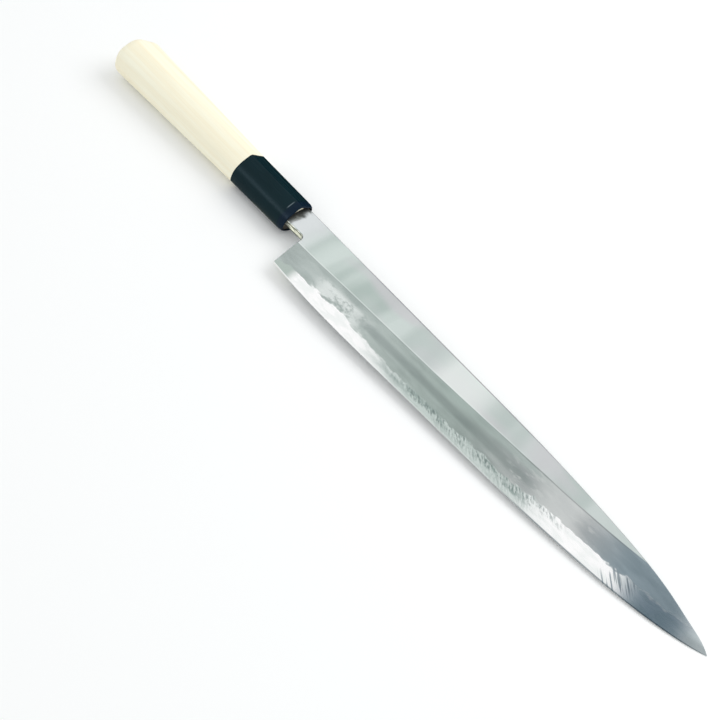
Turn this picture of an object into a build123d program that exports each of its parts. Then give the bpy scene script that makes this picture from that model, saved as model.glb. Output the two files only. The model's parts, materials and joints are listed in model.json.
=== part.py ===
from math import cos, sin, sqrt, tau
import os

from build123d import *

os.makedirs("parts", exist_ok=True)

# A right-handed yanagiba, a single-bevel slicing knife, in millimetres.
# +X runs from the butt to the tip, +Y from the cutting edge to the spine, and +Z out of the
# omote, the side with the bevel. The knife lies on its ura, the hollow back, with the origin
# under the middle of its bounding box.
# In the sketches below, lengths start at the butt, and heights at the handle's axis.

# Lengths along the knife
wood_length = 104.5
ferrule_length = 40.5
neck_length = 13.0
blade_length = 252.0
tang_length = 95.0

# The blade's outline, seen from the omote
spine_height = 8.3
heel_height = 34.6
heel_setback = 1.5
neck_height_at_ferrule = 14.7
neck_height_at_machi = 14.0
machi_round = 3.0
tang_end_height = 7.0

# The blade's thickness and its ground faces
ura_depth_below_axis = 2.0
spine_thickness_at_machi = 4.0
spine_thickness_at_tip = 1.6
tang_end_thickness = 2.4
corner_round = 0.4
edge_land = 0.2
edge_steel_thickness = 1.2
ura_hollow_depth = 0.5
ura_rim = 1.6
ura_runout = 0.2

# The handle's D-shaped section, at the butt, at the joint and at the ferrule's front
butt_half_height = 14.3
butt_half_thickness = 11.0
joint_half_height = 11.3
joint_half_thickness = 8.75
front_half_height = 10.9
front_half_thickness = 7.9
butt_round = 6.5
butt_ease = 6.6
rim_round = 3.8
rim_ease = 0.9
round_steps = 5
ferrule_wall = 1.2
tenon_clearance = 0.05
tenon_recess = 1.0
tang_clearance = 0.1
mouth_gap = 1.2
mouth_depth = 5.0

# How far a cutting shape runs past what it cuts
overrun = 4.0

# Places along the knife
joint_x = wood_length
front_x = joint_x + ferrule_length
machi_x = front_x + neck_length
tip_x = machi_x + blade_length
tang_end_x = front_x - tang_length

# Where the blade's curves run: along the blade from the machi, and below the spine's straight
# line, as shares of the blade's length and of the heel's height
heel_share = heel_setback / blade_length
spine_shares = [(0.450, 0.0), (0.575, 0.006), (0.770, 0.073), (0.901, 0.200), (0.955, 0.300)]
edge_shares = [
    (0.167, 1.026),
    (0.365, 0.971),
    (0.575, 0.910),
    (0.770, 0.800),
    (0.901, 0.656),
    (0.955, 0.554),
]
tip_share = (1.0, 0.431)
# The shinogi, where the bevel meets the flat hira, faces the heel, the edge's points and the tip
shinogi_shares = [
    (heel_share, 0.549),
    (0.167, 0.494),
    (0.362, 0.432),
    (0.571, 0.329),
    (0.760, 0.217),
    (0.885, 0.081),
    (0.934, -0.010),
    (0.970, -0.116),
]
# The bevel's surface runs past the edge and past the shinogi by these shares of its width
past_edge_share, past_shinogi_share = 1.3, -0.2
# How deep the ura's hollow is at the heel, at the edge's points and beside the tip
hollow_shares = [-0.2, 1.0, 1.0, 1.0, 0.9, 0.6, -0.2]
# How high the weld line between edge steel and soft iron runs, along the blade, as it wanders
weld_shares = [
    (0.0, 0.45),
    (0.03, 1.0),
    (0.075, 1.17),
    (0.115, 1.22),
    (0.155, 1.32),
    (0.2, 1.2),
    (0.254, 1.06),
    (0.311, 0.85),
    (0.38, 0.88),
    (0.45, 0.8),
    (0.52, 0.86),
    (0.6, 0.78),
    (0.64, 0.9),
    (0.68, 0.95),
    (0.72, 0.88),
    (0.762, 0.89),
    (0.8, 0.84),
    (0.841, 0.8),
    (0.88, 0.76),
    (0.917, 0.7),
    (1.0, 0.6),
    (1.03, 0.58),
]

# The handle's section, in shares of its half height and half thickness: round the eased ridge on
# the omote side, then the edge side, the ura side, the spine side and the end of the flat facet
ridge_shares = [(0.29, 0.871), (0.2285, 0.9017), (0.1615, 0.8977)]
butt_ridge_shares = [(0.42, 0.735), (0.23, 0.812), (0.02, 0.812)]  # sanded softer towards the butt
section_shares = [(-0.66, 0.36), (-0.89, -0.34), (-0.09, -1.0), (1.0, -0.11)]
facet_end_share = (0.93, 0.35)
# The curve's direction at each of those points but the first and last, which follow the facet
section_runs = [(-0.92, 0.15), (-1.0, -0.25), (-0.69, -0.72), (0.0, -1.0), (1.0, 0.0), (0.0, 1.0)]


def wood_size(x):
    """Half height and half thickness of the wood, which tapers from the butt to the joint."""
    share = x / joint_x
    height = butt_half_height + (joint_half_height - butt_half_height) * share
    thickness = butt_half_thickness + (joint_half_thickness - butt_half_thickness) * share
    return height, thickness


def ferrule_size(x):
    """The same for the ferrule and for the tenon in it, which taper less in height."""
    share = (x - joint_x) / ferrule_length
    height = joint_half_height + (front_half_height - joint_half_height) * share
    thickness = joint_half_thickness + (front_half_thickness - joint_half_thickness) * share
    return height, thickness


# The frame's origin, seen from the butt's centre
middle_x = tip_x / 2
widest_height, rest_z = wood_size(butt_round)
middle_y = (widest_height + spine_height - edge_shares[0][1] * heel_height) / 2


def plan_plane(height):
    return Plane(origin=(-middle_x, -middle_y, rest_z + height))


def cross_plane(x):
    return Plane(origin=(x - middle_x, -middle_y, rest_z), x_dir=(0, 1, 0), z_dir=(1, 0, 0))


side_plane = Plane(origin=(-middle_x, -middle_y, rest_z), x_dir=(1, 0, 0), z_dir=(0, -1, 0))


def on_blade(share):
    return (machi_x + share[0] * blade_length, spine_height - share[1] * heel_height)


def hira_height(x):
    taper = (spine_thickness_at_tip - spine_thickness_at_machi) / blade_length
    return spine_thickness_at_machi - ura_depth_below_axis + taper * (x - machi_x)


ura_height = -ura_depth_below_axis
heel = (machi_x + heel_setback, spine_height - heel_height)
tip = on_blade(tip_share)


def flat_top(part):
    """The largest face that looks up, which is the hira."""
    return part.faces().filter_by(lambda f: f.normal_at().Z > 0).sort_by(SortBy.AREA)[-1]


# The tang tapers both ways from the neck to its end, and so does the pocket burnt into the wood,
# which is larger by its clearance
tang_break = front_x - mouth_depth


def tang_wedge(grow=0.0):
    with BuildPart() as wedge:
        with BuildSketch(plan_plane(ura_height - grow)):
            with BuildLine():
                Polyline(
                    (tang_end_x - grow, tang_end_height / 2 + grow),
                    (tang_break, spine_height + grow),
                    (tang_break, spine_height - neck_height_at_ferrule - grow),
                    (tang_end_x - grow, -tang_end_height / 2 - grow),
                    close=True,
                )
            make_face()
        extrude(amount=2 * spine_thickness_at_machi)
        with BuildSketch(side_plane):
            with BuildLine():
                Polyline(
                    (tang_end_x - grow, ura_height - grow),
                    (tang_break, ura_height - grow),
                    (tang_break, hira_height(tang_break) + grow),
                    (tang_end_x - grow, ura_height + tang_end_thickness + grow),
                    close=True,
                )
            make_face()
        extrude(amount=2 * heel_height, both=True, mode=Mode.INTERSECT)
    return wedge.part


# The blade's blank: what lies under the spine, tapered in thickness, with the spine's corner eased
past_tip = (tip[0] + overrun, tip[1] - overrun)
with BuildPart() as blank:
    with BuildSketch(plan_plane(ura_height)):
        with BuildLine():
            spine_start = on_blade(spine_shares[0])
            spine_places = [on_blade(s) for s in spine_shares[1:]]
            Spline(spine_start, *spine_places, tip, past_tip, tangents=[(1, 0), (1, -1)])
            below_tip = (past_tip[0], -heel_height)
            below_neck = (tang_break, -heel_height)
            Polyline(past_tip, below_tip, below_neck, (tang_break, spine_height), spine_start)
        make_face()
    extrude(amount=2 * spine_thickness_at_machi)
    with BuildSketch(side_plane):
        with BuildLine():
            Polyline(
                (tang_break - overrun, ura_height - overrun),
                (tip_x + 2 * overrun, ura_height - overrun),
                (tip_x + 2 * overrun, hira_height(tip_x + 2 * overrun)),
                (tang_break - overrun, hira_height(tang_break - overrun)),
                close=True,
            )
        make_face()
    extrude(amount=2 * heel_height, both=True, mode=Mode.INTERSECT)
    hira_edges = flat_top(blank).edges()
    spine_edges = hira_edges.filter_by(lambda e: (e @ 0.5).Y > -middle_y and e.length > neck_length)
    fillet(spine_edges, radius=corner_round)
    # Then its outline on the edge side: the neck, the rounded machi, the heel and the edge
    with BuildSketch(plan_plane(ura_height)):
        with BuildLine():
            neck_bottom = (tang_break, spine_height - neck_height_at_ferrule)
            machi = (machi_x, spine_height - neck_height_at_machi)
            past_edge = (tip[0] + overrun, tip[1] + overrun / 2)
            Spline(heel, *[on_blade(s) for s in edge_shares], tip, past_edge)
            above_tip = (past_edge[0], heel_height)
            above_neck = (tang_break, heel_height)
            Polyline(past_edge, above_tip, above_neck, neck_bottom, machi, heel)
        make_face()
    extrude(amount=2 * spine_thickness_at_machi, mode=Mode.INTERSECT)
    upright_edges = blank.edges().filter_by(Axis.Z)
    machi_line = machi_x - middle_x
    machi_corner = upright_edges.filter_by(lambda e: abs((e @ 0).X - machi_line) < heel_setback / 2)
    fillet(machi_corner, radius=machi_round)
    low_edges = flat_top(blank).edges().filter_by(lambda e: (e @ 0.5).Y < -middle_y)
    fillet(low_edges.filter_by(lambda e: (e @ 0.5).X < heel[0] - middle_x), radius=corner_round)
    add(tang_wedge())


# The kireha, the bevel ground from the shinogi down to the edge: a ruled surface through the
# edge and the shinogi, run out past both, with all that lies above it taken away
def run_out(edge_place, shinogi_place, past):
    """The bevel's point beyond the edge (past > 1) or beyond the shinogi (past < 0)."""
    (edge_x, edge_y), (shinogi_x, shinogi_y) = edge_place, shinogi_place
    edge_z = ura_height + edge_land
    shinogi_z = hira_height(shinogi_x)
    return (
        shinogi_x + past * (edge_x - shinogi_x),
        shinogi_y + past * (edge_y - shinogi_y),
        shinogi_z + past * (edge_z - shinogi_z),
    )


edge_places = [heel, *[on_blade(s) for s in edge_shares], tip]
shinogi_places = [on_blade(s) for s in shinogi_shares]
# One more pair before the heel and one after the tip, so that the surface covers both
edge_places = [(heel[0] - overrun, heel[1]), *edge_places, (tip[0] + 2 * overrun, tip[1] + overrun)]
shinogi_first, shinogi_last = shinogi_places[0], shinogi_places[-1]
shinogi_places = [
    (shinogi_first[0] - overrun, shinogi_first[1]),
    *shinogi_places,
    (shinogi_last[0] + 2 * overrun, shinogi_last[1] + overrun),
]
with BuildLine(plan_plane(0)) as bevel_foot:
    Spline(*[run_out(e, s, past_edge_share) for e, s in zip(edge_places, shinogi_places)])
with BuildLine(plan_plane(0)) as bevel_head:
    Spline(*[run_out(e, s, past_shinogi_share) for e, s in zip(edge_places, shinogi_places)])
bevel = Face.make_surface_from_curves(bevel_foot.edge(), bevel_head.edge())
with BuildPart() as bevel_waste:
    extrude(bevel, amount=2 * spine_thickness_at_machi, dir=(0, 0, 1))

# The urasuki, the shallow hollow ground into the ura, inside a flat rim that touches the stone
with BuildPart() as hollow_waste:
    spine_drops = [0.0, 0.0, 0.0, *[s[1] for s in spine_shares[1:]]]
    for edge_place, spine_drop, depth_share in zip(edge_places[1:-2], spine_drops, hollow_shares):
        low = edge_place[1] + ura_rim
        high = spine_height - spine_drop * heel_height - ura_rim
        spread = (high - low) / 2 * sqrt(1 + ura_runout / ura_hollow_depth)
        centre = (low + high) / 2
        with BuildSketch(cross_plane(edge_place[0])):
            with BuildLine():
                foot = ura_height - ura_runout
                crown = ura_height + depth_share * ura_hollow_depth
                arc = ThreePointArc((centre - spread, foot), (centre, crown), (centre + spread, foot))
                Line(arc @ 1, arc @ 0)
            make_face()
    loft()

with BuildPart() as blade:
    add(blank.part)
    add(bevel_waste.part, mode=Mode.SUBTRACT)
    add(hollow_waste.part, mode=Mode.SUBTRACT)


# The edge steel lies along the whole ura, and its weld line to the soft iron wanders a little,
# which shows as the wavy border of the bright band on the bevel
with BuildPart() as steel_zone:
    weld_places = [
        (machi_x + share[0] * blade_length, ura_height + share[1] * edge_steel_thickness)
        for share in weld_shares
    ]
    with BuildSketch(side_plane):
        with BuildLine():
            neck_middle = machi_x - neck_length / 2
            weld_start = (neck_middle, ura_height - ura_runout)
            Spline(weld_start, *weld_places)
            below_tip = (weld_places[-1][0], ura_height - overrun)
            below_neck = (neck_middle, ura_height - overrun)
            Polyline(weld_places[-1], below_tip, below_neck, weld_start)
        make_face()
    extrude(amount=2 * heel_height, both=True)

with BuildPart() as blade_body:
    add(blade.part)
    add(steel_zone.part, mode=Mode.SUBTRACT)
blade_body.part.label = "blade_body"
export_step(blade_body.part, "parts/blade_body.step")

with BuildPart() as edge_steel:
    add(blade.part)
    add(steel_zone.part, mode=Mode.INTERSECT)
edge_steel.part.label = "edge_steel"
export_step(edge_steel.part, "parts/edge_steel.step")


# The D-shaped section that the handle and the ferrule share, drawn in by a wall where it is a bore
def handle_section(x, size, wall=0.0):
    half_height, half_thickness = size(x)

    def place(share):
        return (share[0] * (half_height - wall), share[1] * (half_thickness - wall))

    softness = max(0.0, 1 - x / joint_x)
    ridge = [
        tuple(sharp + (soft - sharp) * softness for sharp, soft in zip(*pair))
        for pair in zip(ridge_shares, butt_ridge_shares)
    ]
    facet_top, facet_end = place(ridge[0]), place(facet_end_share)
    facet_run = (facet_top[0] - facet_end[0], facet_top[1] - facet_end[1])
    with BuildSketch(cross_plane(x)) as section:
        with BuildLine():
            Spline(
                *[place(share) for share in ridge + section_shares],
                facet_end,
                tangents=[facet_run, *section_runs, facet_run],
            )
            Line(facet_end, facet_top)
        make_face()
    return section.sketch.face()


# Both ends of the handle are rounded over by a quarter of an ellipse, drawn in step by step
turns = [i * tau / 4 / round_steps for i in range(round_steps + 1)]

with BuildPart() as ferrule:
    loft([handle_section(joint_x, ferrule_size), handle_section(front_x - rim_round, ferrule_size)])
    rim_places = [(front_x - rim_round * (1 - sin(turn)), rim_ease * (1 - cos(turn))) for turn in turns]
    loft([handle_section(x, ferrule_size, ease) for x, ease in rim_places])
    bore_ends = [joint_x - overrun, front_x + overrun]
    loft([handle_section(x, ferrule_size, ferrule_wall) for x in bore_ends], mode=Mode.SUBTRACT)
ferrule.part.label = "ferrule"
export_step(ferrule.part, "parts/ferrule.step")

with BuildPart() as handle:
    loft([handle_section(butt_round, wood_size), handle_section(joint_x, wood_size)])
    butt_places = [(butt_round * (1 - cos(turn)), butt_ease * (1 - sin(turn))) for turn in turns]
    loft([handle_section(x, wood_size, ease) for x, ease in butt_places])
    tenon_wall = ferrule_wall + tenon_clearance
    tenon_ends = [joint_x, front_x - tenon_recess]
    loft([handle_section(x, ferrule_size, tenon_wall) for x in tenon_ends])
    add(tang_wedge(tang_clearance), mode=Mode.SUBTRACT)
    # At its mouth the pocket is opened up, on the omote side and past the spine
    with BuildSketch(cross_plane(tang_break)):
        low = spine_height - neck_height_at_ferrule - tang_clearance
        high = front_half_height + overrun
        foot = ura_height - tang_clearance
        crown = hira_height(front_x) + mouth_gap
        with Locations(((low + high) / 2, (foot + crown) / 2)):
            Rectangle(high - low, crown - foot)
    extrude(amount=mouth_depth + overrun, mode=Mode.SUBTRACT)
handle.part.label = "handle"
export_step(handle.part, "parts/handle.step")
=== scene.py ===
# %% [markdown]
# # A yanagiba, dressed in Blender
# A yanagiba is a long, single-bevel slicing knife. Its blade is soft iron forge-welded to a thin
# layer of edge steel, its handle is pale magnolia wood of a D-shaped section, and a black ferrule
# holds the wood together where the tang goes in.
#
# The solids come from the CAD frame. This lesson first sets up a camera, a floor and plain soft
# light, and then gives each solid the surface that the real piece has.

# %% The frame
import json
from math import degrees

import bpy
from mathutils import Matrix, Vector
from mathutils.bvhtree import BVHTree

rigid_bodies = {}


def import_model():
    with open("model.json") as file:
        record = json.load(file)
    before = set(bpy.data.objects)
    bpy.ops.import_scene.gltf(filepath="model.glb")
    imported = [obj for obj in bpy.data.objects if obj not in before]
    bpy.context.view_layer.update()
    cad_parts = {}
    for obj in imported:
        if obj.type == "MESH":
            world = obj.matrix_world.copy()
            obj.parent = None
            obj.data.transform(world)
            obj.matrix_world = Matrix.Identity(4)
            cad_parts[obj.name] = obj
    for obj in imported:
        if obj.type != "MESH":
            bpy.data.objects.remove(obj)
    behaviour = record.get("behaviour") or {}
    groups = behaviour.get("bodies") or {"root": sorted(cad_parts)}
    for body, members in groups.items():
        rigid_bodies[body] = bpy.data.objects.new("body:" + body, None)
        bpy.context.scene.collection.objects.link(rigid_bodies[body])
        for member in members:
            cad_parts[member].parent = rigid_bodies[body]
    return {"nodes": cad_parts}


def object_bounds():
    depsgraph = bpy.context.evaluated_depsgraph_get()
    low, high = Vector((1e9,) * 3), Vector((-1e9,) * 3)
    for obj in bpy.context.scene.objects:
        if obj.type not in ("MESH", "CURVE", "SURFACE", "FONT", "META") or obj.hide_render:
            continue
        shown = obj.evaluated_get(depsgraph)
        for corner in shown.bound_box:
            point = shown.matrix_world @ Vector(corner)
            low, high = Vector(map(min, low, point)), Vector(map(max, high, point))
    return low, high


for leftover in list(bpy.data.objects):
    bpy.data.objects.remove(leftover)
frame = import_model()
cad_low, cad_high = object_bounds()
MM = 0.001
print("CAD box, mm:", [round(side / MM, 1) for side in cad_high - cad_low])

# %% [markdown]
# ## Colours and nodes
# Colours are easiest to compare with a photograph as sRGB hex values, but Blender's shaders work
# in linear light. One function turns the first into the second.
#
# A node tree is built of the same small step, again and again: add a node, set it up, and link its
# inputs. One helper does that step. An input that is given another node's socket is linked, and any
# other value is simply set.


# %% Colour and node helpers
def colour(hex_value):
    """An sRGB hex colour as linear red, green, blue and alpha."""
    channels = [int(hex_value[i : i + 2], 16) / 255 for i in (1, 3, 5)]
    linear = [c / 12.92 if c <= 0.04045 else ((c + 0.055) / 1.055) ** 2.4 for c in channels]
    return (*linear, 1.0)


def add_node(tree, kind, inputs=None, **settings):
    """Adds a node of that kind, with its settings, and sets or links its inputs."""
    node = tree.nodes.new("ShaderNode" + kind)
    for name, value in settings.items():
        setattr(node, name, value)
    for name, value in (inputs or {}).items():
        if isinstance(value, bpy.types.NodeSocket):
            tree.links.new(value, node.inputs[name])
        else:
            node.inputs[name].default_value = value
    return node


def new_material(name):
    """An empty material: its tree, its Principled shader and its place on the object in metres."""
    material = bpy.data.materials.new(name)
    material.use_nodes = True
    tree = material.node_tree
    tree.nodes.clear()
    shader = add_node(tree, "BsdfPrincipled")
    add_node(tree, "OutputMaterial", {"Surface": shader.outputs["BSDF"]})
    place = add_node(tree, "TexCoord").outputs["Object"]
    print("material:", name)
    return material, tree, shader, place


# %% [markdown]
# ## The camera
# The photograph's camera was found by fitting it to some thirty points of the knife. It stands
# above the edge side, 40 cm or so away, and is turned so that the knife runs from the top left
# corner to the bottom right one. Blender's camera looks down its own -Z axis with +Y up.

# %% Camera
camera_place = Vector((122.417, -194.894, 294.566)) * MM
camera_right = Vector((0.657976, 0.725039, 0.203436))
camera_down = Vector((0.694049, -0.479068, -0.537391))
camera_forward = Vector((-0.292170, 0.494785, -0.818428))
camera_data = bpy.data.cameras.new("camera")
camera_data.sensor_width = 36.0
camera_data.lens = 38.593
camera = bpy.data.objects.new("camera", camera_data)
bpy.context.scene.collection.objects.link(camera)
turn = Matrix((camera_right, -camera_down, -camera_forward)).transposed()
camera.matrix_world = Matrix.Translation(camera_place) @ turn.to_4x4()
bpy.context.scene.camera = camera
print("camera:", [round(c / MM) for c in camera_place], "mm")

# %% [markdown]
# ## The floor
# A knife that is laid down rests on two places: the butt of its handle and the tip of its blade.
# The frame is lined up with the knife, so the floor is the one that tilts, by about a degree.
#
# The floor is a big pale sheet. It gets a little light of its own, for the camera and for
# reflections only, so that it looks as white as a studio sweep and still keeps the knife's shadow.
# A Light Path node tells the material which kind of ray has come, and the world uses one too.


# %% Floor
def seen_by(tree, *kinds_of_ray):
    """1 for these kinds of ray, and 0 for the light that falls on other things."""
    rays = add_node(tree, "LightPath").outputs
    seen = rays[kinds_of_ray[0]]
    for kind in kinds_of_ray[1:]:
        seen = add_node(tree, "Math", {0: seen, 1: rays[kind]}, operation="MAXIMUM").outputs[0]
    return seen


BUTT_REST = Vector((-202.0, 0.0, -0.15)) * MM
TIP_REST = Vector((205.0, 0.0, 8.8)) * MM
FLOOR_HALF = 3.0  # m, from the middle of the floor to its sides
FLOOR_GLOW = 0.05

slope = (TIP_REST.z - BUTT_REST.z) / (TIP_REST.x - BUTT_REST.x)
floor_points = []
for side_x, side_y in [(-1, -1), (1, -1), (1, 1), (-1, 1)]:
    x = side_x * FLOOR_HALF
    floor_points.append((x, side_y * FLOOR_HALF, BUTT_REST.z + slope * (x - BUTT_REST.x)))
floor_mesh = bpy.data.meshes.new("floor")
floor_mesh.from_pydata(floor_points, [], [(0, 1, 2, 3)])
floor = bpy.data.objects.new("floor", floor_mesh)
bpy.context.scene.collection.objects.link(floor)
print("floor slope, degrees:", round(degrees(slope), 2))

# %% Floor material
floor_material, tree, shader, place = new_material("matt white paper")
shader.inputs["Base Color"].default_value = colour("#F4F5F5")
shader.inputs["Roughness"].default_value = 0.9
shader.inputs["Specular IOR Level"].default_value = 0.2
shader.inputs["Emission Color"].default_value = (1.0, 1.0, 1.0, 1.0)
seen = seen_by(tree, "Is Camera Ray", "Is Glossy Ray")
glow = add_node(tree, "Math", {0: seen, 1: FLOOR_GLOW}, operation="MULTIPLY")
tree.links.new(glow.outputs[0], shader.inputs["Emission Strength"])
floor_mesh.materials.append(floor_material)

# %% [markdown]
# ## The light
# The photograph was taken under broad white light from the spine side, so its only shadow is a soft
# one below the cutting edge. Two things make that: a pale world all round, and one large lamp.
# The world looks fully white to the camera and in reflections, and lights the knife with less.

# %% World
WORLD_LIGHT = 0.84
WORLD_SEEN = 1.0
world = bpy.data.worlds.new("studio")
world.use_nodes = True
bpy.context.scene.world = world
tree = world.node_tree
tree.nodes.clear()
seen = seen_by(tree, "Is Camera Ray", "Is Glossy Ray", "Is Transmission Ray")
strength = add_node(
    tree, "MapRange", {"Value": seen, "To Min": WORLD_LIGHT, "To Max": WORLD_SEEN}
).outputs["Result"]
sky = add_node(tree, "Background", {"Color": colour("#FCFDFD"), "Strength": strength})
add_node(tree, "OutputWorld", {"Surface": sky.outputs[0]})
bpy.context.scene.view_settings.view_transform = "Standard"
print("world:", WORLD_SEEN, "as seen,", WORLD_LIGHT, "as light")

# %% Lamp
LAMP_AIM = Vector((0.05, 0.0, 0.0))
lamp_data = bpy.data.lights.new("window", "AREA")
lamp_data.shape = "RECTANGLE"
lamp_data.size, lamp_data.size_y = 0.9, 0.6
lamp_data.energy = 5.0
lamp = bpy.data.objects.new("window", lamp_data)
bpy.context.scene.collection.objects.link(lamp)
lamp.location = (0.25, 0.75, 0.75)
lamp.rotation_euler = (LAMP_AIM - lamp.location).to_track_quat("-Z", "Y").to_euler()
lamp.visible_glossy = False
print("lamp:", lamp_data.energy, "W, at", [round(c, 2) for c in lamp.location], "m")

# %% [markdown]
# ## Cards for the surfaces to mirror
# Polished steel shows the room. In the photograph the bevel mirrors something bright over the heel
# and before the tip, something grey over the middle, and something dark over the tip itself.
# Photographers do the same with cards held above the subject. A card here is seen by reflections
# only, so it casts no shadow and dims nothing else.
#
# The long card is painted along its length, for the bevel. The narrow one gives the black ferrule
# its single soft highlight, and two dark ones, low down and at the back, keep the rest of the
# ferrule from mirroring the white room. A small bright one lies just above the floor, under the
# neck, and brightens its polished underside.


# %% The card helper
def card(name, corners, paint, strength):
    """A glowing card with these corners, of one colour or painted along x: a list of (x, hex)."""
    mesh = bpy.data.meshes.new(name)
    mesh.from_pydata(corners, [], [(0, 1, 2, 3)])
    thing = bpy.data.objects.new(name, mesh)
    bpy.context.scene.collection.objects.link(thing)
    for kind_of_ray in ("camera", "diffuse", "transmission", "shadow"):
        setattr(thing, "visible_" + kind_of_ray, False)
    material, tree, shader, place = new_material(name + " paint")
    shader.inputs["Base Color"].default_value = (0.0, 0.0, 0.0, 1.0)
    shader.inputs["Specular IOR Level"].default_value = 0.0
    shader.inputs["Emission Strength"].default_value = strength
    if isinstance(paint, str):
        shader.inputs["Emission Color"].default_value = colour(paint)
    else:
        x = add_node(tree, "SeparateXYZ", {0: place}).outputs["X"]
        low, high = paint[0][0], paint[-1][0]
        along = add_node(tree, "MapRange", {"Value": x, "From Min": low, "From Max": high})
        blend = add_node(tree, "ValToRGB", {"Fac": along.outputs["Result"]})
        stops = blend.color_ramp.elements
        stops[0].color, stops[1].color = colour(paint[0][1]), colour(paint[-1][1])
        for place_x, hex_value in paint[1:-1]:
            stops.new((place_x - low) / (high - low)).color = colour(hex_value)
        tree.links.new(blend.outputs["Color"], shader.inputs["Emission Color"])
    mesh.materials.append(material)
    print("card:", name, "of strength", strength)


# %% Cards
bevel_paint = [
    (-0.45, "#FFFFFF"),
    (-0.14, "#FFFFFF"),
    (-0.06, "#D3DBD7"),
    (0.09, "#D0D7D4"),
    (0.135, "#FFFFFF"),
    (0.238, "#FFFFFF"),
    (0.253, "#7D8E99"),
    (0.275, "#596C78"),
    (0.325, "#5E707C"),
    (0.345, "#CDD5D8"),
    (0.45, "#C6CDD0"),
]
long_corners = [(-0.45, -0.1, 0.5), (0.45, -0.05, 0.5), (0.45, 0.31, 0.5), (-0.45, 0.2, 0.5)]
card("long_card", long_corners, bevel_paint, 1.0)
narrow_corners = [(-0.5, -0.28, 0.44), (0.1, -0.27, 0.46), (0.1, -0.38, 0.35), (-0.5, -0.38, 0.35)]
card("narrow_card", narrow_corners, "#C9DCE8", 7.0)

# Two more lie flat, just above the floor, and the last stands upright at the back
CARD_Z = 4.0 * MM
low_outline = [(-0.6, 0.03), (-0.06, 0.03), (-0.06, 0.6), (-0.6, 0.6)]
card("low_card", [(x, y, CARD_Z) for x, y in low_outline], "#1C262C", 1.0)
glint_outline = [(-0.085, -0.035), (-0.035, -0.035), (-0.035, -0.002), (-0.085, -0.002)]
card("glint_card", [(x, y, CARD_Z) for x, y in glint_outline], "#FFFFF2", 1.05)
back_corners = [(-0.9, 0.6, 0.0), (-0.05, 0.6, 0.0), (-0.05, 0.6, 0.42), (-0.9, 0.6, 0.42)]
card("back_card", back_corners, "#26343D", 1.0)

# %% [markdown]
# ## Four lines along the blade
# Each face of the blade is finished differently, and the borders between the faces are what makes
# a yanagiba recognisable: the edge, the weld line between edge steel and soft iron, the shinogi,
# which is the ridge between the ground bevel and the flat hira, and the spine.
#
# To colour each face by itself, a material has to know how far a point lies from these lines. They
# are found on the CAD blade itself: rays are dropped on it from above, across the blade, and each
# line is where a ray first hits steel, first hits the iron, first hits the flat hira, and last
# hits anything. A float curve in the material then gives each line's place for any x.

# %% Rays dropped on the blade
HEEL_X, TIP_X = -45.4 * MM, 205.0 * MM
LINE_STEPS = 24
LINE_SPAN = 50.0  # mm across the blade that a float curve's 0 to 1 stands for
RAY_STEP = 0.1 * MM
RAY_START = 0.1  # m, well above the blade
FLAT = 0.9999  # the hira's normal is nearer to straight up than this
BEFORE_TIP = 0.995  # the last ray falls just before the tip, where there still is steel

trees = {
    name: BVHTree.FromPolygons(
        [v.co for v in frame["nodes"][name].data.vertices],
        [p.vertices for p in frame["nodes"][name].data.polygons],
    )
    for name in ("blade_body", "edge_steel")
}


def what_lies_at(x, y):
    """What a ray dropped at x, y hits first: "hagane", "kireha", "hira" or nothing."""
    start, down = Vector((x, y, RAY_START)), Vector((0, 0, -1))
    hits = []
    for name, blade_tree in trees.items():
        point, normal, index, depth = blade_tree.ray_cast(start, down)
        if point is not None:
            hits.append((depth, name, normal.z))
    if not hits:
        return None
    depth, name, upright = min(hits)
    if name == "edge_steel":
        return "hagane"
    return "hira" if upright > FLAT else "kireha"


print("blade solids with a ray tree:", list(trees))

# %% The four lines
lines = {"edge": [], "weld": [], "shinogi": [], "spine": []}
starts = {"edge": ("hagane", "kireha", "hira"), "weld": ("kireha", "hira"), "shinogi": ("hira",)}
ray_count = int((cad_high.y - cad_low.y) / RAY_STEP)
across = [cad_low.y + i * RAY_STEP for i in range(ray_count)]
for step in range(LINE_STEPS + 1):
    x = HEEL_X + (TIP_X - HEEL_X) * min(step / LINE_STEPS, BEFORE_TIP)
    faces_there = [what_lies_at(x, y) for y in across]
    for line, faces in starts.items():
        found = next((y for y, face in zip(across, faces_there) if face in faces), None)
        heights = lines[line]
        if found is None:  # past the line's end it runs straight on
            found = 2 * heights[-1] - heights[-2]
        heights.append(found)
    lines["spine"].append(max(y for y, face in zip(across, faces_there) if face))
for line, heights in lines.items():
    print(line, "y in mm:", [round(y / MM, 1) for y in heights[::4]])

# %% [markdown]
# ## Places on the knife
# Every finish here is placed in millimetres, and patterns are sized in them too. The steels need
# more: which way a face points, how far along the blade a point lies, and how far it lies from one
# of the four lines.


# %% Places, for a material
def in_mm(tree, place):
    """The place in mm, and its x, y and z."""
    scaled = add_node(tree, "VectorMath", {0: place, 1: (1 / MM,) * 3}, operation="MULTIPLY")
    axes = add_node(tree, "SeparateXYZ", {0: scaled.outputs[0]}).outputs
    return scaled.outputs[0], axes


def blade_places(tree, place):
    """The place in mm, its x, y and z, which way the face points, and the share of the blade."""
    place_mm, axes = in_mm(tree, place)
    normal = add_node(tree, "TexCoord").outputs["Normal"]
    facing = add_node(tree, "SeparateXYZ", {0: normal}).outputs
    reach = {"Value": axes["X"], "From Min": HEEL_X / MM, "From Max": TIP_X / MM}
    share = add_node(tree, "MapRange", reach).outputs["Result"]
    return place_mm, axes, facing, share


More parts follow.
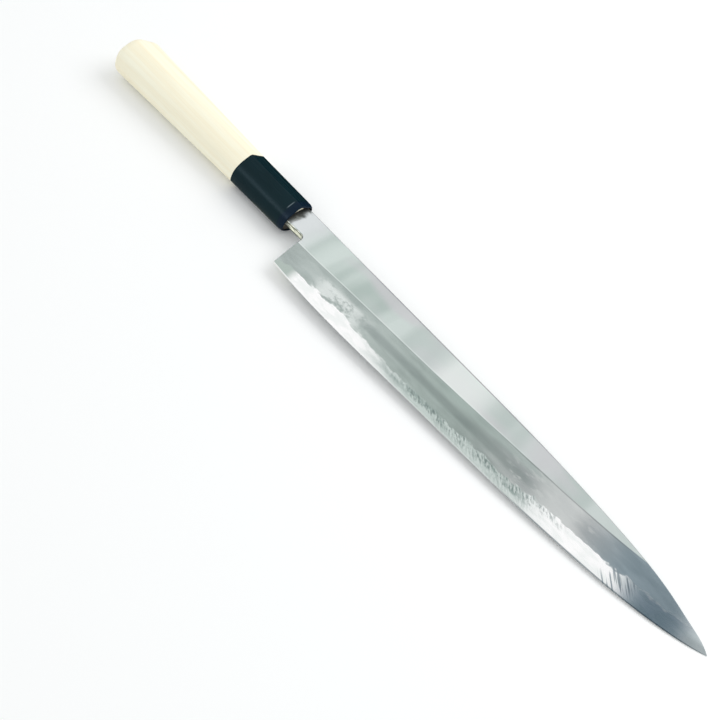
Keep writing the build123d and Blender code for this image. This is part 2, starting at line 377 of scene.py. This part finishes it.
def line_distance(tree, y, share, line):
    """How far above one of the four lines a point lies, in mm: below it, less than 0."""
    curve = add_node(tree, "FloatCurve", {"Value": share})
    mapping = curve.mapping
    mapping.use_clip = False
    points = mapping.curves[0].points
    for step, height in enumerate(lines[line]):
        spot = (step / LINE_STEPS, height / MM / LINE_SPAN + 0.5)
        if step in (0, LINE_STEPS):
            points[0 if step == 0 else -1].location = spot
        else:
            points.new(*spot)
    mapping.update()
    span = {"Value": curve.outputs[0], "To Min": -LINE_SPAN / 2, "To Max": LINE_SPAN / 2}
    height = add_node(tree, "MapRange", span, clamp=False)
    return add_node(tree, "Math", {0: y, 1: height.outputs[0]}, operation="SUBTRACT").outputs[0]


# %% [markdown]
# ## Layers and masks
# A finish is built up the way a polisher or a stain builds it: a ground colour first, and then
# one thing after another over it, each only where it belongs. A mask says where that is: 1 where
# the layer covers, 0 where it doesn't. It opens and closes along a value, such as x in mm, the
# distance from a line, or a noise, and a layer can have several, and a strength.
#
# Most patterns on a blade are longer than they are wide, because it is ground and rubbed in one
# direction. So the noise takes the size of its grains in mm, along x, y and z.


# %% Layers and masks, for a material
def where_all(tree, *masks):
    """A mask that is open where all of these are. A plain number among them is a strength."""
    together = masks[0]
    for other in masks[1:]:
        inputs = {0: together, 1: other}
        together = add_node(tree, "Math", inputs, operation="MULTIPLY").outputs[0]
    return together


def mask(tree, value, start, full, still=None, end=None):
    """0 at start and 1 from full on, smooth between them. With still and end, it closes again."""
    reach = {"Value": value, "From Min": start, "From Max": full}
    opening = add_node(tree, "MapRange", reach, interpolation_type="SMOOTHSTEP").outputs["Result"]
    if end is None:
        return opening
    return where_all(tree, opening, mask(tree, value, end, still))


def lay_over(tree, below, above, *masks):
    """The colour below, with another one laid over it where all the masks are open."""
    inputs = {"Factor": where_all(tree, *masks)}
    for socket, side in ((6, below), (7, above)):
        inputs[socket] = colour(side) if isinstance(side, str) else side
    return add_node(tree, "Mix", inputs, data_type="RGBA").outputs[2]


def streaks(tree, place_mm, sizes, detail=2.0, roughness=0.5):
    """Noise whose grains are that many mm long in x, y and z, from 0 to 1."""
    scale = tuple(1 / size for size in sizes)
    stretched = add_node(tree, "VectorMath", {0: place_mm, 1: scale}, operation="MULTIPLY")
    look = {"Scale": 1.0, "Detail": detail, "Roughness": roughness}
    return add_node(tree, "TexNoise", {"Vector": stretched.outputs[0], **look}).outputs[0]


# %% [markdown]
# ## The ground bevel: hagane
# The bevel is ground through both steels, and then rubbed on one stone. The stone leaves the hard
# edge steel bright, a shining band along the edge that is called hagane. In forging, the two
# steels grow together, so their border isn't a clean line: it wanders by a millimetre or so, with
# dull flecks along it. The stone's last strokes cross the blade at a slant. They are fine on the
# flecked border, and long before the tip.
#
# A painted image could show all this, but it would fit one blade only. Masks along x and along the
# blade's lines stay right if the CAD blade changes, and stay sharp close up.


# %% Hagane
STROKE_ANGLE = 0.72  # radians between the stone's strokes and the blade's length


def hagane_colour(tree, place_mm, x, over_edge, over_border):
    """The bright band of edge steel, placed by x, by the edge and by the wandering border."""
    # Near-white at both ends, and duller and more mottled in the middle
    mottle = mask(tree, streaks(tree, place_mm, (8.0, 3.0, 8.0)), 0.35, 0.62)
    ends = lay_over(tree, "#F2F5F4", "#FDFDFD", mottle)
    middle = lay_over(tree, "#B2BDBB", "#E2E8E7", mottle)
    middle = lay_over(tree, middle, "#F1F5F4", mask(tree, over_edge, 3.6, 0.8), 0.65)
    hagane = lay_over(tree, ends, middle, mask(tree, x, 10.0, 42.0, 108.0, 128.0))

    # Dull flecks along the border, and painted glints between them, all cut by the strokes
    turned = {"Vector": place_mm, "Angle": STROKE_ANGLE}
    slanted = add_node(tree, "VectorRotate", turned, rotation_type="Z_AXIS").outputs[0]
    flecks = mask(tree, streaks(tree, slanted, (2.6, 0.9, 3.0), detail=3.0), 0.46, 0.6)
    on_border = mask(tree, over_border, -4.2, -1.8, -0.6, 0.4)
    flecked = mask(tree, x, 20.0, 60.0, 122.0, 138.0)
    hagane = lay_over(tree, hagane, "#7C8A8A", flecks, on_border, flecked, 0.62)
    painted_glints = mask(tree, streaks(tree, slanted, (3.4, 0.8, 3.0)), 0.49, 0.58)
    glinting = mask(tree, x, 45.0, 80.0, 120.0, 130.0)
    hagane = lay_over(tree, hagane, "#FAFCFC", painted_glints, glinting, 0.6)

    # Duller at the heel, long strokes before the tip, and a grey point
    hagane = lay_over(tree, hagane, "#B2BEB8", mask(tree, x, -31.0, -37.0))
    strokes = mask(tree, streaks(tree, slanted, (16.0, 0.9, 8.0)), 0.5, 0.6)
    before_tip = mask(tree, x, 153.0, 158.0, 166.0, 171.0)
    hagane = lay_over(tree, hagane, "#7D8B94", strokes, before_tip, 0.8)
    at_point = where_all(tree, mask(tree, x, 190.0, 198.0), mask(tree, over_edge, 6.0, 2.0))
    hagane = lay_over(tree, hagane, "#B9BDBD", at_point, 0.7)

    # The very edge: a fine line of painted highlight by the heel, and of painted shade ahead
    painted_edge_line = lay_over(tree, "#FFFFFF", "#5A6A72", mask(tree, x, 95.0, 125.0))
    return lay_over(tree, hagane, painted_edge_line, mask(tree, over_edge, 0.6, 0.3), 0.7)


# %% [markdown]
# ## The ground bevel: kireha
# The stone mists the soft iron above the border, the kireha, and that mist is called kasumi. It is
# a flat grey with pale patches by the heel and a darker haze halfway up, and it clears before the
# tip. Its clouds are large, soft grains of noise. The patches and the veins have finer noise in
# them, so their borders are ragged, as they are where a stone's mud has rubbed the iron.


# %% Kireha
HAZE_SINKS = 1.8  # mm that the haze drops away from the shinogi on its way to the tip


def kireha_colour(tree, place_mm, x, over_shinogi):
    """The misted iron, placed by x and by the distance to the shinogi."""
    # Greenish grey at the heel, more neutral ahead, and bluish at the tip
    cloudy = mask(tree, streaks(tree, place_mm, (20.0, 6.0, 20.0)), 0.3, 0.7)
    heelward = lay_over(tree, "#A4AEAB", "#BBC4C1", cloudy)
    tipward = lay_over(tree, "#ADB1B2", "#C6C8C8", cloudy)
    kireha = lay_over(tree, heelward, tipward, mask(tree, x, 60.0, 115.0))
    at_tip = lay_over(tree, "#8F9EA5", "#A2B0B7", cloudy)
    at_tip = lay_over(tree, at_tip, "#E6EAEC", mask(tree, x, 184.0, 199.0))
    kireha = lay_over(tree, kireha, at_tip, mask(tree, x, 134.0, 164.0))

    # Pale patches by the heel, which stop short of the shinogi
    patches = streaks(tree, place_mm, (6.0, 3.5, 8.0), detail=5.0, roughness=0.72)
    patches = mask(tree, patches, 0.37, 0.55)
    by_heel = mask(tree, x, -28.0, -18.0, -1.0, 16.0)
    low_down = mask(tree, over_shinogi, -2.0, -5.0)
    kireha = lay_over(tree, kireha, "#E4E9E7", patches, by_heel, low_down, 0.85)

    # A darker haze halfway up, and a paler strip between it and the shinogi
    sinking = {0: mask(tree, x, 30.0, 110.0), 1: HAZE_SINKS, 2: over_shinogi}
    haze_place = add_node(tree, "Math", sinking, operation="MULTIPLY_ADD").outputs[0]
    haze = mask(tree, haze_place, -9.6, -7.6, -6.1, -3.6)
    hazy = mask(tree, x, -4.0, 14.0, 105.0, 125.0)
    kireha = lay_over(tree, kireha, "#8A9493", haze, hazy, 0.5)
    strip = mask(tree, over_shinogi, -5.5, -2.5)
    stripped = mask(tree, x, 35.0, 65.0, 105.0, 125.0)
    kireha = lay_over(tree, kireha, "#C2CECA", strip, stripped, 0.45)

    # It clears towards the tip, where fine veins are left of it
    kireha = lay_over(tree, kireha, "#DEE0DF", mask(tree, x, 106.0, 122.0, 130.0, 141.0), 0.6)
    veins = streaks(tree, place_mm, (6.0, 2.0, 8.0), detail=5.0, roughness=0.6)
    veined = mask(tree, x, 85.0, 105.0, 135.0, 150.0)
    return lay_over(tree, kireha, "#D6D8D7", mask(tree, veins, 0.5, 0.68), veined, 0.6)


# %% [markdown]
# ## One bevel for two solids
# The wandering border crosses from one solid into the other and back. So both solids get the whole
# bevel's finish, from one function, and each shows the part of it that lies on its own surface.


# %% Finish of the bevel
WANDER = 2.2  # mm, the most that the border leaves the weld line on either side
IRON_ROUGHNESS, STEEL_ROUGHNESS = 0.27, 0.11


def bevel_finish(tree, place_mm, axes, share):
    """The bevel's colour and roughness, and how far above the shinogi a point lies."""
    over_shinogi = line_distance(tree, axes["Y"], share, "shinogi")
    over_edge = line_distance(tree, axes["Y"], share, "edge")
    over_weld = line_distance(tree, axes["Y"], share, "weld")
    noise = streaks(tree, place_mm, (4.5, 2.5, 5.0))
    wander = add_node(tree, "MapRange", {"Value": noise, "To Min": -WANDER, "To Max": WANDER})
    over_border = add_node(tree, "Math", {0: over_weld, 1: wander.outputs["Result"]}).outputs[0]
    on_steel = mask(tree, over_border, 0.5, -0.5)

    hagane = hagane_colour(tree, place_mm, axes["X"], over_edge, over_border)
    kireha = kireha_colour(tree, place_mm, axes["X"], over_shinogi)
    finish = lay_over(tree, kireha, hagane, on_steel)
    gloss = {"Value": on_steel, "To Min": IRON_ROUGHNESS, "To Max": STEEL_ROUGHNESS}
    roughness = add_node(tree, "MapRange", gloss).outputs["Result"]
    return finish, roughness, over_shinogi


# %% [markdown]
# ## Soft iron: hira, neck and spine
# The body is low-carbon iron. Like the edge steel it is a metal, so its colour is what it reflects:
# under white light all round it renders about as bright as its base colour, and its roughness says
# how sharply it mirrors.
#
# The flat hira is polished lengthwise to a satin, with soft bands across it that are painted
# reflections over an uneven polish. Towards the ferrule the neck is polished brighter, and right at
# its mouth the steel is stained, with painted shade over the stain.

# %% Soft iron: the hira and the neck
MACHI_X = -46.5  # mm, where the blade's heel is cut back to the neck
soft_iron, tree, shader, place = new_material("hazy stone-rubbed soft iron")
place_mm, axes, facing, share = blade_places(tree, place)
x = axes["X"]
bevel_colour, bevel_roughness, over_shinogi = bevel_finish(tree, place_mm, axes, share)
ahead_of_machi = mask(tree, x, MACHI_X - 0.1, MACHI_X + 0.1)
on_bevel = where_all(tree, mask(tree, over_shinogi, 0.12, -0.12), ahead_of_machi)

# Satin, with soft bands across it: painted reflections over an uneven polish, strong by the heel
# and weak ahead. The pinkish cast and the lighter stretch ahead are painted reflections too
bands = mask(tree, streaks(tree, place_mm, (12.0, 60.0, 60.0), detail=1.0), 0.32, 0.68)
strong = lay_over(tree, "#B3C0BB", "#D3DDD9", bands)
weak = lay_over(tree, "#BEC8C5", "#CED6D4", bands)
hira = lay_over(tree, strong, weak, mask(tree, x, 0.0, 45.0))
pinkish = mask(tree, streaks(tree, place_mm, (34.0, 16.0, 30.0), detail=1.0), 0.45, 0.7)
hira = lay_over(tree, hira, "#CFCED1", pinkish, 0.75)
lighter_stretch = mask(tree, x, 40.0, 52.0, 62.0, 84.0)
hira = lay_over(tree, hira, "#ECF0EE", lighter_stretch, 0.8)
hira = lay_over(tree, hira, "#DEE2E3", mask(tree, x, -36.0, -52.0))

# The stain at the ferrule's mouth, with painted shade over it, creeps further out here than there
CREEP = 7.0  # mm between the noise's darkest and lightest places
noise = streaks(tree, place_mm, (5.0, 3.2, 3.0))
crept = add_node(tree, "Math", {0: noise, 1: CREEP, 2: x}, operation="MULTIPLY_ADD").outputs[0]
stain_and_shade = mask(tree, crept, -53.0, -56.6)
hira = lay_over(tree, hira, "#5C5D59", stain_and_shade, 0.9)
iron = lay_over(tree, hira, bevel_colour, on_bevel)
print("hira and bevel:", len(tree.nodes), "nodes")

# %% [markdown]
# ## Soft iron: lines and corners
# Where two faces meet, the light draws a line, and here that line is painted: a painted highlight
# along the shinogi by the heel, and painted shade along it ahead and along the spine. The eased
# corners carry a painted reflection of the dark side of the room.
#
# The neck's underside shows file marks, and is bright with dark lines along it.

# %% Soft iron: lines and corners
# Painted highlight along the shinogi, bright by the heel and fading ahead
shinogi_highlight = mask(tree, over_shinogi, -0.1, 0.15, 0.4, 0.75)
fading = add_node(tree, "MapRange", {"Value": share, "To Min": 0.5, "To Max": 0.2}).outputs[0]
fading = where_all(tree, fading, mask(tree, x, 112.0, 88.0))
iron = lay_over(tree, iron, "#EEF3F1", shinogi_highlight, ahead_of_machi, fading)
# Painted shade: a dark line along the shinogi ahead
painted_dark_line = mask(tree, over_shinogi, -0.9, -0.5, -0.2, 0.05)
iron = lay_over(tree, iron, "#767F7F", painted_dark_line, mask(tree, x, 82.0, 110.0, 150.0, 165.0), 0.5)
# Painted shade: a dark line along the spine
over_spine = line_distance(tree, axes["Y"], share, "spine")
painted_spine_shade = mask(tree, over_spine, -0.7, -0.35)
iron = lay_over(tree, iron, "#77727A", painted_spine_shade, 0.8, mask(tree, x, -30.0, 0.0, 95.0, 125.0))
# Painted reflection: corners that face sideways mirror a dark room
sideways = add_node(tree, "Math", {0: facing["Y"]}, operation="ABSOLUTE").outputs[0]
iron = lay_over(tree, iron, "#343B3A", mask(tree, sideways, 0.2, 0.45, 0.85, 0.97))

# The neck's underside: file marks, a dark line below the hira, and dark again towards the ura
file_marks = mask(tree, streaks(tree, place_mm, (3.0, 6.0, 0.6)), 0.42, 0.58)
underside = lay_over(tree, "#F4F5EC", "#A9AEA4", file_marks)
underside = lay_over(tree, underside, "#343A38", mask(tree, axes["Z"], 11.5, 11.8, 12.1, 12.4))
underside = lay_over(tree, underside, "#3E4441", mask(tree, axes["Z"], 9.9, 9.2))
faces_down = mask(tree, facing["Y"], -0.5, -0.8)
iron = lay_over(tree, iron, underside, faces_down, mask(tree, x, -45.4, -45.8))
print("with its lines and corners:", len(tree.nodes), "nodes")

# %% [markdown]
# ## Soft iron: gloss and scratches
# A metal has no colour below its gloss, so it needs only what it reflects and how sharply. The
# finest lengthwise scratches are too thin to model. They are bump, 0.35 mm wide, which is coarser
# than real ones, so that they show.

# %% Soft iron: the shader
SATIN, STAINED = 0.22, 0.6  # roughness of the hira, polished and stained
tree.links.new(iron, shader.inputs["Base Color"])
shader.inputs["Metallic"].default_value = 1.0
hira_roughness = add_node(tree, "Mix", {"Factor": stain_and_shade, 2: SATIN, 3: STAINED}).outputs[0]
both = {"Factor": on_bevel, 2: hira_roughness, 3: bevel_roughness}
tree.links.new(add_node(tree, "Mix", both).outputs[0], shader.inputs["Roughness"])

rub = streaks(tree, place_mm, (30.0, 0.35, 0.35), detail=4.0)
scratch = add_node(tree, "Bump", {"Height": rub, "Strength": 0.06, "Distance": 0.02 * MM})
tree.links.new(scratch.outputs[0], shader.inputs["Normal"])
print("soft iron:", len(tree.nodes), "nodes")

# %% [markdown]
# ## Edge steel
# The edge steel is a high-carbon layer under the iron. On the omote it shows as the hagane. On the
# back, the ura, it shows everywhere: a narrow polished rim, and inside it the hollow, which keeps
# the fine lines of its grinding wheel across the blade.

# %% Edge steel
URA_Z = 8.86  # mm, the height of the ura's flat rim
GROUND, POLISHED = 0.3, 0.12  # roughness of the hollow and of its rim
edge_steel, tree, shader, place = new_material("bright stone-polished edge steel")
place_mm, axes, facing, share = blade_places(tree, place)
bevel_colour, bevel_roughness, _ = bevel_finish(tree, place_mm, axes, share)
on_ura = mask(tree, facing["Z"], 0.0, -0.2)
on_rim = mask(tree, axes["Z"], URA_Z + 0.06, URA_Z + 0.02)
grind = streaks(tree, place_mm, (0.9, 40.0, 20.0), detail=3.0)
ura = lay_over(tree, "#ABB3B3", "#C1C8C8", mask(tree, grind, 0.35, 0.65))
ura = lay_over(tree, ura, "#E2E6E6", on_rim)
steel = lay_over(tree, bevel_colour, ura, on_ura)
tree.links.new(steel, shader.inputs["Base Color"])
shader.inputs["Metallic"].default_value = 1.0
ura_roughness = add_node(tree, "Mix", {"Factor": on_rim, 2: GROUND, 3: POLISHED}).outputs[0]
both = {"Factor": on_ura, 2: bevel_roughness, 3: ura_roughness}
tree.links.new(add_node(tree, "Mix", both).outputs[0], shader.inputs["Roughness"])

# The lines of the grinding wheel are bump too, 0.9 mm wide, which is coarser than real ones, so
# that they show. The rim has been polished free of them
smooth = {"Factor": where_all(tree, on_ura, on_rim), 2: grind, 3: 0.5}
relief = add_node(tree, "Mix", smooth).outputs[0]
scratch = add_node(tree, "Bump", {"Height": relief, "Strength": 0.05, "Distance": 0.02 * MM})
tree.links.new(scratch.outputs[0], shader.inputs["Normal"])
print("edge steel:", len(tree.nodes), "nodes")

# %% [markdown]
# ## Ferrule
# The ferrule takes the place of the traditional buffalo horn: a moulded black plastic, polished,
# with a cool blue-black cast. Gloss on a dark body shows every light as a soft streak, so its
# surface has a very slight unevenness, as a polished moulding has. Where its rounded rim begins,
# a faint painted highlight runs along it.

# %% Black plastic
RIM_X = -64.4  # mm, where the ferrule's rounded rim begins
black_plastic, tree, shader, place = new_material("polished black ABS")
place_mm, axes = in_mm(tree, place)
cloud = streaks(tree, place_mm, (14.0, 5.0, 5.0))
shade = lay_over(tree, "#0A1E23", "#10292F", cloud)
shade = lay_over(tree, shade, "#0E1A33", mask(tree, axes["X"], RIM_X - 0.6, RIM_X + 1.6), 0.5)
# Painted highlight: a faint light line where the rounded rim begins
rim_highlight = mask(tree, axes["X"], RIM_X - 0.4, RIM_X - 0.1, RIM_X + 0.1, RIM_X + 0.4)
short = mask(tree, axes["Y"], 2.5, 4.5, 6.5, 8.5)
shade = lay_over(tree, shade, "#A9B8C0", rim_highlight, 0.3, short)
tree.links.new(shade, shader.inputs["Base Color"])
shader.inputs["Specular IOR Level"].default_value = 0.08
smear = streaks(tree, place_mm, (20.0, 3.0, 3.0), detail=3.0)
roughness = add_node(tree, "MapRange", {"Value": smear, "To Min": 0.2, "To Max": 0.34})
tree.links.new(roughness.outputs["Result"], shader.inputs["Roughness"])
print("black plastic:", len(tree.nodes), "nodes")

# %% [markdown]
# ## Wood
# The handle is ho wood, a Japanese magnolia: cream-coloured, light, sanded smooth and left
# unvarnished. Its pores are too small to see, and its grain is a faint straight figure along the
# handle, a little darker and warmer than the rest. Its year rings are arcs about the middle of the
# tree, which lay far outside this piece. Along the handle they show as faint straight lines, and at
# the butt, where they are cut across, as arcs. The fibres are drawn 0.35 mm wide, which is coarser
# than real ones, so that they show.

# %% Magnolia wood: figure and fibres
magnolia, tree, shader, place = new_material("sanded magnolia wood")
place_mm, axes = in_mm(tree, place)
figure = streaks(tree, place_mm, (160.0, 3.2, 3.2), detail=4.0, roughness=0.55)
fibres = streaks(tree, place_mm, (14.0, 0.35, 0.35), detail=3.0, roughness=0.6)
wood = lay_over(tree, "#FFFCE6", "#FCF4D8", mask(tree, figure, 0.3, 0.7))
wood = lay_over(tree, wood, "#E6D8B4", mask(tree, fibres, 0.5, 0.75), 0.16)
print("figure and fibres:", len(tree.nodes), "nodes")

# %% Magnolia wood: year rings
RING_SPACING = 2.6  # mm from one year's ring to the next
TREE_MIDDLE = (0.0, 46.0, 28.0)  # mm, how far from it the handle lay
ALONG_GRAIN = (0.01, 1.0, 1.0)  # the rings hardly change along the handle
WAVER = 2.5  # mm by which a ring is out of round
from_middle = {0: place_mm, 1: ALONG_GRAIN, 2: TREE_MIDDLE}
rings = add_node(tree, "VectorMath", from_middle, operation="MULTIPLY_ADD").outputs[0]
rings = add_node(tree, "VectorMath", {0: rings}, operation="LENGTH").outputs["Value"]
noise = streaks(tree, place_mm, (120.0, 13.0, 13.0))
rings = add_node(tree, "Math", {0: noise, 1: WAVER, 2: rings}, operation="MULTIPLY_ADD").outputs[0]
rings = add_node(tree, "Math", {0: rings, 1: RING_SPACING / 2}, operation="PINGPONG").outputs[0]
wood = lay_over(tree, wood, "#EFE4C2", mask(tree, rings, 0.35, 0.0), 0.17)
print("with year rings:", len(tree.nodes), "nodes")

# %% Magnolia wood: painted shade in the mouth, and the shader
# Painted shade: deep in the ferrule's mouth, round the tang, the wood is darkened to a near-black
# gap
mouth_shade = where_all(tree, mask(tree, axes["X"], -72.0, -66.0), mask(tree, axes["Z"], 14.9, 14.2))
wood = lay_over(tree, wood, "#241E19", mouth_shade, 0.95)
tree.links.new(wood, shader.inputs["Base Color"])
shader.inputs["IOR"].default_value = 1.5
shader.inputs["Roughness"].default_value = 0.55
grain = add_node(tree, "Bump", {"Height": fibres, "Strength": 0.25, "Distance": 0.05 * MM})
tree.links.new(grain.outputs[0], shader.inputs["Normal"])
print("magnolia wood:", len(tree.nodes), "nodes")

# %% [markdown]
# ## Dressing the CAD nodes
# The CAD solids already have the real shapes, so they stay, and each gets its finish.

# %% Materials on the nodes
finishes = {
    "blade_body": (soft_iron, "soft_iron"),
    "edge_steel": (edge_steel, "edge_steel"),
    "ferrule": (black_plastic, "ferrule"),
    "handle": (magnolia, "handle_wood"),
}
for name, (finish, slot) in finishes.items():
    node = frame["nodes"][name]
    node.data.materials.clear()
    node.data.materials.append(finish)
    print(name, "is", finish.name)
